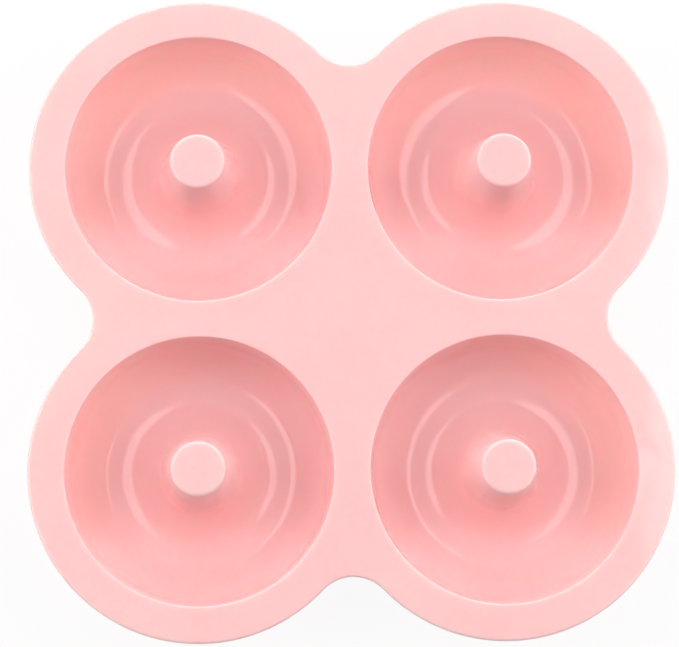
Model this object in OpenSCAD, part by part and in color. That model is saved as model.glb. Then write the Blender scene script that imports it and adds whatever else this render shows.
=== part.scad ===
// Flexible ring mould: a four-lobed deck, four ring-shaped cups and four hollow centre posts.
// +Z is up, the cups rest on z = 0, and the origin is under the middle of the deck.

/* [Deck] */
// Width of the deck between two neighbouring mouths
web_w = 13.4; // [10:0.1:24]
// Width of the flat rim outside each mouth
rim_w = 13.6; // [11:0.1:22]
// Radius of the hollow blend between two neighbouring lobes
notch_r = 15.3; // [8:0.1:30]
// Thickness of the deck
deck_t = 2.4; // [1.6:0.1:4]
// Radius that rounds the outer edge of the deck
edge_r = 0.8; // [0.3:0.1:1.2]
// Radius that rounds the lip of each mouth
lip_r = 0.5; // [0.2:0.1:1.2]

/* [Cups] */
// Diameter of each mouth, at the top of the deck
mouth_d = 100; // [80:1:120]
// Depth of each cavity below the top of the deck
cavity_depth = 32; // [24:0.5:36]
// Draft of the outer wall, in degrees from upright
wall_draft = 5; // [1:0.5:10]
// Thickness of the wall of the cups and posts
wall_t = 2; // [1.2:0.1:3]
// Radius of the fillet between a cup and the underside of the deck
root_r = 3; // [1:0.1:4]
// Width of the flat ring that each cup rests on
foot_w = 6; // [3:0.1:10]

/* [Posts] */
// Height of each post above the top of the deck
post_rise = 16.3; // [4:0.1:25]
// Diameter of a post at its top
post_d = 19.8; // [14:0.1:26]
// Draft of the post, in degrees from upright
post_draft = 8; // [3:0.5:12]
// Radius that rounds the top edge of a post
post_edge_r = 1; // [0.4:0.1:1.8]
// Thickness of the closed top of a post
cap_t = 2.5; // [1.5:0.1:4]

/* [Hidden] */
$fn = 96;

// Room that a cutter has past the face it cuts
spare = 1;

// Plan of the deck, seen from above
mouth_r = mouth_d / 2;
half_pitch = (mouth_d + web_w) / 2;
lobe_r = mouth_r + rim_w;
notch_y = half_pitch + sqrt(pow(lobe_r + notch_r, 2) - pow(half_pitch, 2));
BACK = 1;
FRONT = -1;
LEFT = -1;
RIGHT = 1;

// Round bottom of the trough: the circle that touches both flanks and the floor
post_r = post_d / 2;
post_h = cavity_depth + post_rise;
trough_r = (mouth_r - post_r - cavity_depth * tan(wall_draft) - post_h * tan(post_draft))
    / (tan(45 - wall_draft / 2) + tan(45 - post_draft / 2));
ring_r = post_r + post_h * tan(post_draft) + trough_r * tan(45 - post_draft / 2);

// Heights above the surface that the mould rests on
shell_r = trough_r + wall_t;
foot_flat = shell_r - sqrt(pow(shell_r, 2) - pow(foot_w / 2, 2));
floor_z = wall_t - foot_flat;
ring_z = floor_z + trough_r;
deck_top = floor_z + cavity_depth;
deck_under = deck_top - deck_t;
post_top = deck_top + post_rise;
seat_z = ring_z - trough_r * sin(post_draft);

// Radius of the cavity's outer wall at a height, moved out into the material by out
function wall_at(z, out = 0) =
    mouth_r - (deck_top - z) * tan(wall_draft) + out / cos(wall_draft);

// Radius of the post's flank at a height, moved in into the material by in
function flank_at(z, in = 0) =
    post_r + (post_top - z) * tan(post_draft) - in / cos(post_draft);

// The fillet under the deck stays on its own side of the web and on its own rim
root_room = min(half_pitch, lobe_r - edge_r) - wall_at(deck_under, wall_t);
root = min(root_r, root_room / (1 / cos(wall_draft) + tan(wall_draft)));

// Where a flank touches an arc, it ends this far inside the arc, so that the two cross cleanly
tuck = 0.002;

// Where the round bottom, grown by grow, touches the outer wall and the post's flank
function wall_touch(grow) =
    [ring_r, ring_z] + (trough_r + grow - tuck) * [cos(wall_draft), -sin(wall_draft)];
function flank_touch(grow) =
    [ring_r, ring_z] - (trough_r + grow - tuck) * [cos(post_draft), sin(post_draft)];

// Half section of the cavity, up past the top of the deck
module cavity_section() {
    top = deck_top + spare;
    translate([ring_r, ring_z]) circle(trough_r);
    polygon([
        flank_touch(0), [ring_r, ring_z], wall_touch(0), [wall_at(top), top], [flank_at(top), top],
    ]);
}

// Half section of a tapered post with a rounded top edge, set in into the material by inset
module post_section(inset, bottom, top, round_r) {
    z = top - round_r;
    r = flank_at(z, inset + round_r);
    translate([r, z]) circle(round_r);
    polygon([
        [0, bottom],
        [flank_at(bottom, inset), bottom],
        [r, z] + (round_r - tuck) * [cos(post_draft), sin(post_draft)],
        [r, z],
        [r, top],
        [0, top],
    ]);
}

// Half section of a cup: round bottom with a flat foot, drafted wall with a fillet under the
// deck, and the collar that the post sits on
module cup_section() {
    z = deck_under - root;
    r = wall_at(z, wall_t + root);
    intersection() {
        difference() {
            union() {
                translate([ring_r, ring_z]) circle(shell_r);
                polygon([
                    flank_touch(wall_t),
                    [ring_r, ring_z],
                    wall_touch(wall_t),
                    [r, z] + (root - tuck) * [-cos(wall_draft), sin(wall_draft)],
                    [r, z],
                    [r, deck_top],
                    [flank_at(deck_top, wall_t), deck_top],
                ]);
            }
            cavity_section();
            translate([r, z]) circle(root);
        }
        polygon([
            [0, 0], [r, 0], [r, deck_under], [ring_r, deck_under], [ring_r, seat_z], [0, seat_z],
        ]);
    }
}

// Half section of the opening through the deck: drafted, with a rounded lip
module mouth_section() {
    z = deck_top - lip_r;
    r = wall_at(z, lip_r) - tuck;
    polygon([
        [0, deck_under - spare],
        [wall_at(deck_under - spare), deck_under - spare],
        [wall_at(deck_top), deck_top],
        [wall_at(deck_top), deck_top + spare],
        [0, deck_top + spare],
    ]);
    difference() {
        polygon([
            [r, z] + (lip_r - tuck) * [-cos(wall_draft), sin(wall_draft)],
            [r, z],
            [r, deck_top + spare],
            [wall_at(deck_top) - spare, deck_top + spare],
            [wall_at(deck_top) - spare, z],
        ]);
        translate([r, z]) circle(lip_r);
    }
}

// Half section of one lobe of the deck, a disc with a rounded top edge
module lobe_section() {
    translate([lobe_r - edge_r, deck_top - edge_r]) circle(edge_r);
    translate([0, deck_under]) square([lobe_r - edge_r, deck_t]);
    translate([0, deck_under]) square([lobe_r, deck_t - edge_r]);
}

// Half section of what a hollow blend takes off the deck, with the same rounded top edge
module notch_section() {
    translate([0, deck_under - spare]) square([notch_r, deck_t + 2 * spare]);
    difference() {
        translate([0, deck_top - edge_r]) square([notch_r + edge_r, edge_r + spare]);
        translate([notch_r + edge_r, deck_top - edge_r]) circle(edge_r);
    }
}

// Places a copy on the centre of every cavity
module on_cavities() {
    for (x = [-half_pitch, half_pitch], y = [-half_pitch, half_pitch])
        translate([x, y, 0]) children();
}

// Places a copy on the centre of every hollow blend
module on_notches() {
    for (turn = [0:90:270])
        rotate([0, 0, turn]) translate([0, notch_y, 0]) children();
}

// Flat four-lobed deck with its four mouths
module deck() {
    web = [for (turn = [0:90:270], corner = [[half_pitch, half_pitch], [0, notch_y]])
        [corner.x * cos(turn) - corner.y * sin(turn), corner.x * sin(turn) + corner.y * cos(turn)]];
    color("pink") difference() {
        union() {
            on_cavities() rotate_extrude() lobe_section();
            translate([0, 0, deck_under]) linear_extrude(deck_t) polygon(web);
        }
        on_cavities() rotate_extrude() mouth_section();
        on_notches() rotate_extrude() notch_section();
    }
}

// Ring-shaped trough wall, from the underside of the deck down and up to the post's seat
module cup(side, end) {
    color("lightpink") translate([side * half_pitch, end * half_pitch, 0])
        rotate_extrude() cup_section();
}

// Hollow tapered post, open below and closed on top
module post(side, end) {
    color("mistyrose") translate([side * half_pitch, end * half_pitch, 0]) rotate_extrude()
        difference() {
            post_section(0, seat_z, post_top, post_edge_r);
            post_section(wall_t, seat_z - spare, post_top - cap_t, post_edge_r);
        }
}

deck();
cup(LEFT, BACK);  // cup_back_left
cup(RIGHT, BACK);  // cup_back_right
cup(LEFT, FRONT);  // cup_front_left
cup(RIGHT, FRONT);  // cup_front_right
post(LEFT, BACK);  // post_back_left
post(RIGHT, BACK);  // post_back_right
post(LEFT, FRONT);  // post_front_left
post(RIGHT, FRONT);  // post_front_right
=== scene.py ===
# %% [markdown]
# # A silicone ring mould, step by step
# The object is a flexible baking mould in pink silicone: a flat deck with four round lobes, a
# round trough in each lobe, and a hollow post in the middle of each trough. The CAD model holds
# its size and its place. Here the mould gets the skin, the finish and the light of the real thing.

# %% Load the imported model
from math import asin, cos, degrees, pi, radians, sin, sqrt, tan

import bmesh
import bpy
from mathutils import Matrix, Vector


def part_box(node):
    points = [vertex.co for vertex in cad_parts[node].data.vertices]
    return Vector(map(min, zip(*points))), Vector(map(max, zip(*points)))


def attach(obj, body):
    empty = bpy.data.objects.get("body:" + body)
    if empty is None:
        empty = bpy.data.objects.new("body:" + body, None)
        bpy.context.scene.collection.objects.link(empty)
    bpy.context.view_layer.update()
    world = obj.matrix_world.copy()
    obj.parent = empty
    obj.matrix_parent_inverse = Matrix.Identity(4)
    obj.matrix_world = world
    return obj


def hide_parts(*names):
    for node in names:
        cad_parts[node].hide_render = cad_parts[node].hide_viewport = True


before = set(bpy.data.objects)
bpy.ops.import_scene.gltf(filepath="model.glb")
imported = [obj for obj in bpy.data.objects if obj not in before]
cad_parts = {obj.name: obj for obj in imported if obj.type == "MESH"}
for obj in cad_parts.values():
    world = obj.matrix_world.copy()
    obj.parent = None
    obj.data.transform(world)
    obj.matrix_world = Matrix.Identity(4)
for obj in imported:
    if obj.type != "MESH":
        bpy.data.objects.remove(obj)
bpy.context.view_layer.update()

# %% [markdown]
# ## Measuring the model
# Sizes that this scene shares with the CAD model could be typed in again, but are read from the
# boxes of its pieces, so that the two stay in step. The deck gives the levels of its two faces, a
# post gives the distance between the cavities, and how far the deck reaches gives the radius of
# a lobe.

# %% Measure the model
MM = 0.001
deck_low, deck_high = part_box("deck")
post_low, post_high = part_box("post_back_right")
deck_under, deck_top = deck_low.z, deck_high.z
post_top = post_high.z
half_pitch = (post_low.x + post_high.x) / 2
lobe_r = deck_high.x - half_pitch
print(f"deck {deck_under:.4f} to {deck_top:.4f} m, post top {post_top:.4f} m")
print(f"cavities {2 * half_pitch:.4f} m apart, lobe radius {lobe_r:.4f} m")

# %% [markdown]
# ## The camera
# The mould is seen from almost straight above, as food shapes usually are, with a long lens. The
# camera stands a little to the front and the left of the middle, so the posts lean away from it.
# It is made first, because its place doesn't depend on anything else in the scene.

# %% Camera
CAMERA_DISTANCE = 0.9346
LEAN_FRONT = radians(6.26)
LEAN_LEFT = radians(1.70)
ROLL = radians(0.51)
LENS = 132.8
SENSOR_WIDTH = 36
SHIFT = (-0.0171, -0.0085)

toward = Vector((-tan(LEAN_LEFT), -tan(LEAN_FRONT), 1)).normalized()
aim = Vector((0, 0, deck_top))
camera_data = bpy.data.cameras.new("camera")
camera_data.lens = LENS
camera_data.sensor_width = SENSOR_WIDTH
camera_data.shift_x, camera_data.shift_y = SHIFT
camera = bpy.data.objects.new("camera", camera_data)
bpy.context.collection.objects.link(camera)
across = Vector((0, 1, 0)).cross(toward).normalized()
upward = toward.cross(across)
facing = Matrix((across, upward, toward)).transposed()
camera.rotation_mode = "QUATERNION"
camera.rotation_quaternion = (facing @ Matrix.Rotation(-ROLL, 3, "Z")).to_quaternion()
camera.location = aim + toward * CAMERA_DISTANCE
bpy.context.scene.camera = camera
print("camera at", [round(v, 3) for v in camera.location])

# %% [markdown]
# ## The half section
# A moulding like this has round cavities, so one outline from the axis of a post to the flat deck
# describes all that a cavity is. The outline has straight, drafted flanks, which let the mould
# come off its tool, joined by arcs. An arc is written by its centre, its radius and two angles.
# The upper outline is the side that touches the food, and the lower one is the same shape, one
# wall thickness away.

# %% Drafts, radii and thicknesses
WALL_DRAFT = radians(5)
POST_DRAFT = radians(8)
CAVITY_DEPTH = 32.0 * MM
WALL_T = 2.0 * MM
CAP_T = 2.5 * MM
MOUTH_R = 50.0 * MM
POST_R = 9.9 * MM
LIP_R = 0.5 * MM
POST_EDGE_R = 1.0 * MM
EDGE_R = 0.8 * MM
UNDER_EDGE_R = 0.3 * MM
ROOT_R = 3.0 * MM
NOTCH_R = 15.3 * MM
FLAT = 0.4 * MM
print(f"walls {WALL_T / MM} mm thick, mouths {2 * MOUTH_R / MM:.0f} mm across")

# %% The trough's arc
post_height = CAVITY_DEPTH + post_top - deck_top
room = MOUTH_R - POST_R - CAVITY_DEPTH * tan(WALL_DRAFT) - post_height * tan(POST_DRAFT)
trough_r = room / (tan(pi / 4 - WALL_DRAFT / 2) + tan(pi / 4 - POST_DRAFT / 2))
ring_r = POST_R + post_height * tan(POST_DRAFT) + trough_r * tan(pi / 4 - POST_DRAFT / 2)
ring_z = deck_top - CAVITY_DEPTH + trough_r
shell_r = trough_r + WALL_T
print(f"trough radius {trough_r / MM:.2f} mm on a ring of {ring_r / MM:.2f} mm")

# %% Points on an arc
def arc(centre, radius, start, stop, steps):
    """Points on an arc in the section plane, from one angle to another, in degrees."""
    turns = [radians(start + (stop - start) * i / steps) for i in range(steps + 1)]
    return [(centre[0] + radius * cos(t), centre[1] + radius * sin(t)) for t in turns]

# %% Wall and post at a height
EDGE_STEPS = 7


def wall_at(z, out=0.0):
    """Radius of the cavity's outer wall at a height, moved out into the silicone."""
    return MOUTH_R - (deck_top - z) * tan(WALL_DRAFT) + out / cos(WALL_DRAFT)


def flank_at(z, inward=0.0):
    """Radius of the post's flank at a height, moved in into the silicone."""
    return POST_R + (post_top - z) * tan(POST_DRAFT) - inward / cos(POST_DRAFT)


def post_edge(inset, top):
    """The flat top and rounded edge of a post, or of the hollow inside it."""
    z = top - POST_EDGE_R
    r = flank_at(z, inset + POST_EDGE_R)
    rounding = arc((r, z), POST_EDGE_R, 90, degrees(POST_DRAFT), EDGE_STEPS)
    return [(0, top), (r - FLAT, top)] + rounding


print(f"wall radius {wall_at(ring_z) / MM:.2f} mm and post radius {flank_at(ring_z) / MM:.2f} mm",
      "at the level of the trough's centre")

# %% Upper outline
TROUGH_STEPS = 30
LIP_STEPS = 6
WALL_DEG, POST_DEG = degrees(WALL_DRAFT), degrees(POST_DRAFT)
ring = (ring_r, ring_z)
lip = (wall_at(deck_top - LIP_R, LIP_R), deck_top - LIP_R)

upper = post_edge(0, post_top)
upper += [(flank_at(z), z) for z in (deck_top, (deck_top + ring_z) / 2)]
upper += arc(ring, trough_r, 180 + POST_DEG, 360 - WALL_DEG, TROUGH_STEPS)
upper += arc(lip, LIP_R, 180 - WALL_DEG, 90, LIP_STEPS) + [(lip[0] + FLAT, deck_top)]
print("outline points above:", len(upper))

# %% Lower outline, with a flat foot where the arc would pass below the table
SHELL_STEPS = 14
ROOT_STEPS = 8
root = (wall_at(deck_under - ROOT_R, WALL_T + ROOT_R), deck_under - ROOT_R)
flank_middle = ring_z + trough_r / 2
foot_deg = degrees(asin(ring_z / shell_r))

lower = post_edge(WALL_T, post_top - CAP_T)
lower += [(flank_at(flank_middle, WALL_T), flank_middle)]
lower += arc(ring, shell_r, 180 + POST_DEG, 180 + foot_deg, SHELL_STEPS)
lower += arc(ring, shell_r, 360 - foot_deg, 360 - WALL_DEG, SHELL_STEPS)
lower += arc(root, ROOT_R, 180 - WALL_DEG, 90, ROOT_STEPS) + [(root[0] + FLAT, deck_under)]
print("outline points below:", len(lower))

# %% [markdown]
# ## Turning a cavity
# Spin is the lathe of Blender's mesh tools. It turns a row of edges about an axis and leaves a
# skin of quads behind it. A full turn with use_merge closes the seam, and merging by distance
# closes the pole on the axis. The cavity is turned twice, once for each side of its wall. The
# four cavities are alike, so one is made and the mould gets four copies of it.

# %% A row of edges, and a finished form
TOUCHING = 1e-6


def chain(bm, points):
    """A row of vertices joined by edges in the section plane."""
    verts = [bm.verts.new((r, 0, z)) for r, z in points]
    return verts + [bm.edges.new(pair) for pair in zip(verts, verts[1:])]


def merged(bm):
    """Merges what lies in one place and returns the shape as a mesh."""
    bmesh.ops.remove_doubles(bm, verts=bm.verts[:], dist=TOUCHING)
    mesh = bpy.data.meshes.new("form")
    bm.to_mesh(mesh)
    bm.free()
    return mesh

# %% Turn one cavity, above and below
TURN_STEPS = 160
turned = bmesh.new()
for outline in (upper, lower):
    bmesh.ops.spin(turned, geom=chain(turned, outline), cent=(0, 0, 0), axis=(0, 0, 1),
                   angle=2 * pi, steps=TURN_STEPS, use_merge=True, use_duplicate=False)
cavity = merged(turned)
print("one cavity:", len(cavity.polygons), "faces")

# %% [markdown]
# ## The clover edge
# The outline of the deck is a chain of arcs: each lobe is centred on its cavity, and a hollow
# blend runs from one lobe to the next and touches both. Where two arcs touch, their centres and
# the meeting point lie on one line. So one small section of the edge can be swept along them: it
# is turned about the lobe's centre, and then back about the blend's. That is a quarter of the
# edge, and three copies turned by 90 degrees complete it.

# %% Section of the deck's edge
UNDER_EDGE_STEPS = 4
edge = [(lobe_r - EDGE_R - FLAT, deck_top)]
edge += arc((lobe_r - EDGE_R, deck_top - EDGE_R), EDGE_R, 90, 0, EDGE_STEPS)
edge += arc((lobe_r - UNDER_EDGE_R, deck_under + UNDER_EDGE_R), UNDER_EDGE_R, 0, -90,
            UNDER_EDGE_STEPS)
edge += [(lobe_r - UNDER_EDGE_R - FLAT, deck_under)]
print("edge section:", len(edge), "points")

# %% Where the blend touches the lobes
blend_reach = lobe_r + NOTCH_R
blend_y = half_pitch + sqrt(blend_reach ** 2 - half_pitch ** 2)
blend_turn = 2 * asin(half_pitch / blend_reach)
lobe_turn = pi / 2 + blend_turn
print(f"a lobe turns {degrees(lobe_turn):.1f} degrees and a blend {degrees(blend_turn):.1f}")

# %% Sweep a quarter of the edge
LOBE_STEPS = 96
BLEND_STEPS = 40
swept = bmesh.new()
section = chain(swept, edge)
bmesh.ops.rotate(swept, verts=swept.verts[:], matrix=Matrix.Rotation(-blend_turn / 2, 3, "Z"))
bmesh.ops.translate(swept, verts=swept.verts[:], vec=(half_pitch, half_pitch, 0))
for centre, angle, steps in (((half_pitch, half_pitch, 0), lobe_turn, LOBE_STEPS),
                             ((0, blend_y, 0), -blend_turn, BLEND_STEPS)):
    made = bmesh.ops.spin(swept, geom=section, cent=centre, axis=(0, 0, 1), angle=angle,
                          steps=steps, use_merge=False, use_duplicate=False)
    section = made["geom_last"]
quarter = merged(swept)
print("a quarter of the edge:", len(quarter.polygons), "faces")

# %% [markdown]
# ## Putting the skin together
# What is left open are two flat areas, above and below, each between the clover edge and four
# rims. Triangle fill closes a flat area with holes. Every rounding beside it ends in a narrow flat
# strip, so the big triangles meet only level neighbours and shade as one even face.

# %% Copies of the cavity and the edge
mould = bmesh.new()


def add_copy(form, place):
    """Adds a copy of a mesh to the mould, moved by a matrix."""
    form.transform(place)
    mould.from_mesh(form)
    form.transform(place.inverted())


for x in (-half_pitch, half_pitch):
    for y in (-half_pitch, half_pitch):
        add_copy(cavity, Matrix.Translation((x, y, 0)))
for turns in range(4):
    add_copy(quarter, Matrix.Rotation(turns * pi / 2, 4, "Z"))
bmesh.ops.remove_doubles(mould, verts=mould.verts[:], dist=TOUCHING)
print("mould so far:", len(mould.faces), "faces")

# %% Fill the top and the underside of the deck
def open_edges(z):
    """Edges that still have one face and lie in a level plane."""
    return [e for e in mould.edges
            if e.is_boundary and all(abs(v.co.z - z) < TOUCHING for v in e.verts)]


for z, side in ((deck_top, 1), (deck_under, -1)):
    bmesh.ops.triangle_fill(mould, use_beauty=True, use_dissolve=False, edges=open_edges(z),
                            normal=(0, 0, side))
bmesh.ops.recalc_face_normals(mould, faces=mould.faces[:])
print("edges left open:", sum(not e.is_manifold for e in mould.edges),
      "volume in cm3:", round(mould.calc_volume() * 1e6, 1))

# %% [markdown]
# ## The same order each time
# Merging hands the faces back in an order that changes from run to run. The shape stays the same,
# but two files made from it could not be compared. So the faces are sorted by a number that no two
# of them share, worked out from the three lowest corner numbers of each.

# %% Sort the faces
mould.verts.index_update()
corners = len(mould.verts)


def rank(face):
    """A face's own number, from its three lowest corners."""
    first, second, third = sorted(v.index for v in face.verts)[:3]
    return (first * corners + second) * corners + third


mould.faces.sort(key=rank)
print("faces in order:", len(mould.faces))

# %% [markdown]
# ## One piece of silicone
# The real mould is a single moulding with no seam, while the CAD model divides it into nine
# solids that meet face to face. So one skin rides on the mould's body and stands for all nine.

# %% Make it a piece
skin = bpy.data.meshes.new("silicone_mould")
mould.to_mesh(skin)
mould.free()
skin.shade_smooth()
piece = bpy.data.objects.new("silicone_mould", skin)
bpy.context.collection.objects.link(piece)
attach(piece, "root")
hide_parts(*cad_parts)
print("triangles:", sum(len(p.vertices) - 2 for p in skin.polygons))

# %% [markdown]
# ## Silicone
# Baking silicone is a soft, milky rubber. Light goes in, spreads a few millimetres and comes out
# pinker, and a polished tool leaves a glossy skin on it. A flat pink paint would look like hard
# plastic, so subsurface scattering carries the colour, over a low roughness for the gloss. Three
# faint patterns keep the skin from looking machined: clouds of a slightly deeper pink, fine grain
# in the gloss, and a slow ripple under that grain.

# %% Patterns fixed to the mould
NOISE_LOW, NOISE_HIGH = 0.3, 0.7


def noise(tree, place, per_metre, detail):
    """A cloudy pattern fixed to the mould, with so many patches in a metre."""
    pattern = tree.nodes.new("ShaderNodeTexNoise")
    pattern.inputs["Scale"].default_value = per_metre
    pattern.inputs["Detail"].default_value = detail
    tree.links.new(place, pattern.inputs["Vector"])
    return pattern.outputs[0]


def between(tree, share, low, high):
    """Turns a pattern into a number that wanders between two values."""
    span = tree.nodes.new("ShaderNodeMapRange")
    span.inputs["From Min"].default_value = NOISE_LOW
    span.inputs["From Max"].default_value = NOISE_HIGH
    span.inputs["To Min"].default_value = low
    span.inputs["To Max"].default_value = high
    tree.links.new(share, span.inputs["Value"])
    return span.outputs[0]


def bump(tree, height, depth, below=None):
    """Tilts the shading by a height pattern, on top of another bump."""
    node = tree.nodes.new("ShaderNodeBump")
    node.inputs["Distance"].default_value = depth
    tree.links.new(height, node.inputs["Height"])
    if below:
        tree.links.new(below, node.inputs["Normal"])
    return node.outputs[0]

# %% Colours and finish of the silicone
SILICONE_PALE = (1.0, 0.620, 0.620, 1)
SILICONE_DEEP = (1.0, 0.600, 0.600, 1)
SILICONE_IOR = 1.5
GLOSS = (0.03, 0.07)
LIGHT_SPREAD = (0.55, 1.0, 0.83)
SPREAD_DEPTH = 3.5 * MM
PATCHES_PER_METRE = 28
GRAINS_PER_METRE = 1100
RIPPLE = 0.45 * MM
GRAIN = 0.006 * MM
print("light spreads", [round(share * SPREAD_DEPTH / MM, 2) for share in LIGHT_SPREAD],
      "mm in red, green and blue")

# %% Silicone material
def silicone_material():
    """Pink, slightly translucent silicone with a glossy, faintly uneven skin."""
    material = bpy.data.materials.new("pink_silicone")
    material.use_nodes = True
    tree = material.node_tree
    shader = tree.nodes["Principled BSDF"]
    shader.inputs["IOR"].default_value = SILICONE_IOR
    shader.inputs["Subsurface Weight"].default_value = 1.0
    shader.inputs["Subsurface Radius"].default_value = LIGHT_SPREAD
    shader.inputs["Subsurface Scale"].default_value = SPREAD_DEPTH

    place = tree.nodes.new("ShaderNodeTexCoord").outputs["Object"]
    patches = noise(tree, place, PATCHES_PER_METRE, 2)
    grains = noise(tree, place, GRAINS_PER_METRE, 3)
    tint = tree.nodes.new("ShaderNodeMix")
    tint.data_type = "RGBA"
    tint.inputs["A"].default_value = SILICONE_DEEP
    tint.inputs["B"].default_value = SILICONE_PALE
    tree.links.new(between(tree, patches, 0, 1), tint.inputs["Factor"])
    tree.links.new(tint.outputs["Result"], shader.inputs["Base Color"])
    tree.links.new(between(tree, grains, *GLOSS), shader.inputs["Roughness"])
    skin_bump = bump(tree, grains, GRAIN, bump(tree, patches, RIPPLE))
    tree.links.new(skin_bump, shader.inputs["Normal"])
    return material


skin.materials.append(silicone_material())
print("silicone shader nodes:", len(skin.materials[0].node_tree.nodes))

# %% [markdown]
# ## White to the eye
# The mould lies on white, and nothing in the picture is whiter than the sheet. More light would
# make the sheet white, but it would bleach the pink as well. A Light Path node knows better: it
# says what kind of ray has arrived. The camera, a glossy face and a clear thing are shown plain
# white, and all other light meets the sheet and the lamps as they are. The share sets how much of
# that white is mixed in. What is left of the sheet carries the mould's soft shadow.

# %% White for the rays that look
PLAIN_WHITE = (1, 1, 1, 1)


def shown_white(tree, lit, white, share, surface):
    """Shows white to the camera, gloss and clear things, and the lit look to all other light."""
    nodes, links = tree.nodes, tree.links
    rays = nodes.new("ShaderNodeLightPath")
    seen = rays.outputs["Is Camera Ray"]
    for kind in ("Is Glossy Ray", "Is Transmission Ray"):
        either = nodes.new("ShaderNodeMath")
        either.operation = "MAXIMUM"
        links.new(seen, either.inputs[0])
        links.new(rays.outputs[kind], either.inputs[1])
        seen = either.outputs[0]
    part = nodes.new("ShaderNodeMath")
    part.operation = "MULTIPLY"
    part.inputs[1].default_value = share
    mix = nodes.new("ShaderNodeMixShader")
    links.new(seen, part.inputs[0])
    links.new(part.outputs[0], mix.inputs[0])
    links.new(lit, mix.inputs[1])
    links.new(white, mix.inputs[2])
    links.new(mix.outputs[0], surface)

# %% [markdown]
# ## The sheet
# Under the mould lies a sheet of white paper. It is one flat face, far wider than the view, so
# that no edge of it is ever seen. Two faces in one plane would fight over which of them is seen,
# so the sheet lies a fifth of a millimetre below the feet. It belongs to the stage, not the mould.

# %% Sheet material
SHEET_COLOUR = (0.9, 0.9, 0.9, 1)
SHEET_ROUGHNESS = 0.8
SHEET_SHARE = 0.92


def floor_material():
    """White sheet: mostly its own white, so that the shadow on it stays faint."""
    material = bpy.data.materials.new("white_sheet")
    material.use_nodes = True
    nodes = material.node_tree.nodes
    paper = nodes["Principled BSDF"]
    paper.inputs["Base Color"].default_value = SHEET_COLOUR
    paper.inputs["Roughness"].default_value = SHEET_ROUGHNESS
    glow = nodes.new("ShaderNodeEmission")
    glow.inputs["Color"].default_value = PLAIN_WHITE
    shown_white(material.node_tree, paper.outputs[0], glow.outputs[0], SHEET_SHARE,
                nodes["Material Output"].inputs["Surface"])
    return material

# %% Sheet
SHEET_SIZE = 3.0
SHEET_GAP = 0.2 * MM
sheet = bmesh.new()
bmesh.ops.create_grid(sheet, x_segments=1, y_segments=1, size=SHEET_SIZE,
                      matrix=Matrix.Translation((0, 0, -SHEET_GAP)))
floor_mesh = bpy.data.meshes.new("floor")
sheet.to_mesh(floor_mesh)
sheet.free()
floor_mesh.materials.append(floor_material())
floor = bpy.data.objects.new("floor", floor_mesh)
bpy.context.collection.objects.link(floor)
print("sheet", [round(side, 1) for side in floor.dimensions[:2]], "m wide")

# %% [markdown]
# ## Soft boxes
# A studio hangs boxes of white cloth with lamps inside round a glossy thing, because what is seen
# of its gloss is their mirror image. Two long boxes hang level on the left and the right, and they
# draw the pairs of crescents in each trough. A low box at the back and a narrow one on each side
# light the walls. The side boxes are kept out of the gloss, where they would bleach one end of
# the deck as seen from the side. A lamp's power is worked out from how bright its face is to look,
# so that a box can change its size and stay as bright.

# %% A soft box
WARM_WHITE = (1, 0.93, 0.93, 1)


def soft_box(name, place, size, radiance, target):
    """A rectangular lamp that faces a point, as bright as its radiance says."""
    data = bpy.data.lights.new(name, "AREA")
    data.shape = "RECTANGLE"
    data.size, data.size_y = size
    data.energy = radiance * pi * size[0] * size[1]
    data.color = WARM_WHITE[:3]
    lamp = bpy.data.objects.new(name, data)
    bpy.context.collection.objects.link(lamp)
    lamp.location = place
    lamp.rotation_euler = (Vector(place) - Vector(target)).to_track_quat("Z", "Y").to_euler()
    print(f"{name}: {size[0]} x {size[1]} m, {data.energy:.1f} W")
    return lamp

# %% Hang the soft boxes
STRIP_OUT, STRIP_BACK, STRIP_HEIGHT = 0.37, 0.03, 0.63
STRIP_SIZE, STRIP_RADIANCE = (0.34, 0.60), 2.35
SIDE_OUT, SIDE_BACK, SIDE_HEIGHT = 0.85, 0.25, 0.50
SIDE_SIZE, SIDE_RADIANCE = (0.30, 1.5), 1.65
BACK_PLACE = (0, 0.95, 0.60)
BACK_SIZE, BACK_RADIANCE = (1.4, 0.40), 2.0

for name, side in (("left", -1), ("right", 1)):
    x = STRIP_OUT * side
    soft_box(f"strip_{name}", (x, STRIP_BACK, STRIP_HEIGHT), STRIP_SIZE, STRIP_RADIANCE,
             (x, STRIP_BACK, 0))
    side_lamp = soft_box(f"side_{name}", (SIDE_OUT * side, SIDE_BACK, SIDE_HEIGHT), SIDE_SIZE,
                         SIDE_RADIANCE, aim)
    side_lamp.visible_glossy = False
soft_box("back", BACK_PLACE, BACK_SIZE, BACK_RADIANCE, aim)

# %% [markdown]
# ## A tent of light
# Small glossy things are often lit inside a tent of white cloth, which shines on them from all
# round. Lamps low down at the sides would throw the posts' shadows on the walls of the cavities.
# The world's own light does the same work without an edge: it rises smoothly towards the left, the
# right and the back of the horizon, and stays faint in front. Texture Coordinate gives the world
# the direction of each ray, with x to the right and y to the back, each between -1 and 1.

# %% Light by direction
def ramp(tree, value, start, stop, high):
    """Rises smoothly from nothing to a height between two values."""
    node = tree.nodes.new("ShaderNodeMapRange")
    node.interpolation_type = "SMOOTHSTEP"
    node.inputs["From Min"].default_value = start
    node.inputs["From Max"].default_value = stop
    node.inputs["To Max"].default_value = high
    tree.links.new(value, node.inputs["Value"])
    return node.outputs[0]


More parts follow.
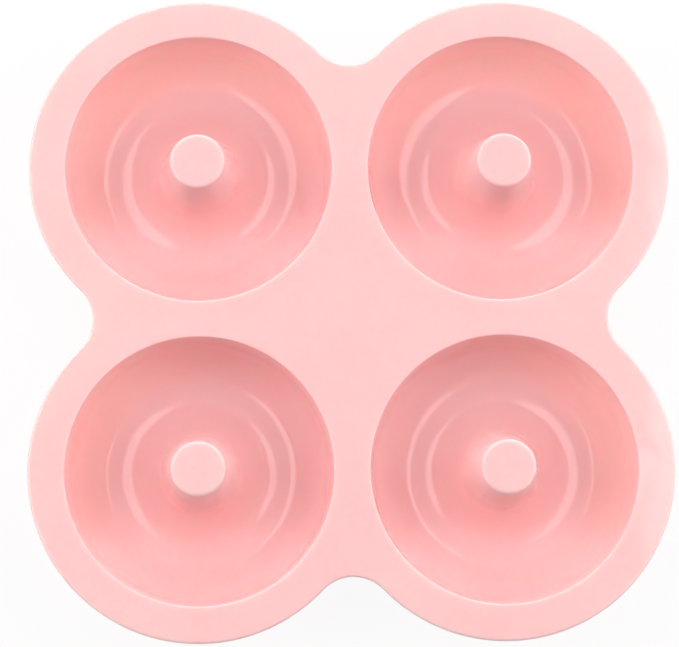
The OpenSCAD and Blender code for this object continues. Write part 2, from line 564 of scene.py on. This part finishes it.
def combined(tree, operation, *values):
    """One number worked out from one or two others."""
    node = tree.nodes.new("ShaderNodeMath")
    node.operation = operation
    for socket, value in zip(node.inputs, values):
        tree.links.new(value, socket)
    return node.outputs[0]

# %% The tent's walls
FILL = 0.10
SIDE_LIGHT = 1.8
BACK_LIGHT = 1.1
SIDE_RISE = (0.60, 0.92)
BACK_RISE = (0.35, 0.80)
FRONT_END = (-0.5, 0.05)

world = bpy.data.worlds.new("studio")
bpy.context.scene.world = world
world.use_nodes = True
sky = world.node_tree
nodes = sky.nodes
direction = nodes.new("ShaderNodeSeparateXYZ")
sky.links.new(nodes.new("ShaderNodeTexCoord").outputs["Generated"], direction.inputs[0])
sideways = combined(sky, "ABSOLUTE", direction.outputs["X"])
backward = direction.outputs["Y"]
not_in_front = ramp(sky, backward, *FRONT_END, 1)
side_walls = combined(sky, "MULTIPLY", ramp(sky, sideways, *SIDE_RISE, SIDE_LIGHT), not_in_front)
back_wall = ramp(sky, backward, *BACK_RISE, BACK_LIGHT)
tent = combined(sky, "ADD", side_walls, back_wall)
print("light from the front", FILL, "and from the side", round(FILL + SIDE_LIGHT, 2))

# %% World
level = nodes.new("ShaderNodeMath")
level.inputs[1].default_value = FILL
sky.links.new(tent, level.inputs[0])
fill = nodes["Background"]
fill.inputs["Color"].default_value = WARM_WHITE
sky.links.new(level.outputs[0], fill.inputs["Strength"])
white = nodes.new("ShaderNodeBackground")
white.inputs["Color"].default_value = PLAIN_WHITE
shown_white(sky, fill.outputs[0], white.outputs[0], 1, nodes["World Output"].inputs["Surface"])
print("world nodes:", len(nodes))

# %% [markdown]
# ## Colours as they are
# The Standard view shows a colour as it is written, while a film look would dull the pink. In a
# deep pink cavity light goes from wall to wall many times, and each time it loses some green and
# blue and hardly any red. That is what makes the cavities warmer than the deck, so the renderer
# may follow twelve such bounces.

# %% View and bounces
DIFFUSE_BOUNCES = 12
bpy.context.scene.view_settings.view_transform = "Standard"
bpy.context.scene.cycles.diffuse_bounces = DIFFUSE_BOUNCES
print("view", bpy.context.scene.view_settings.view_transform, "bounces", DIFFUSE_BOUNCES)
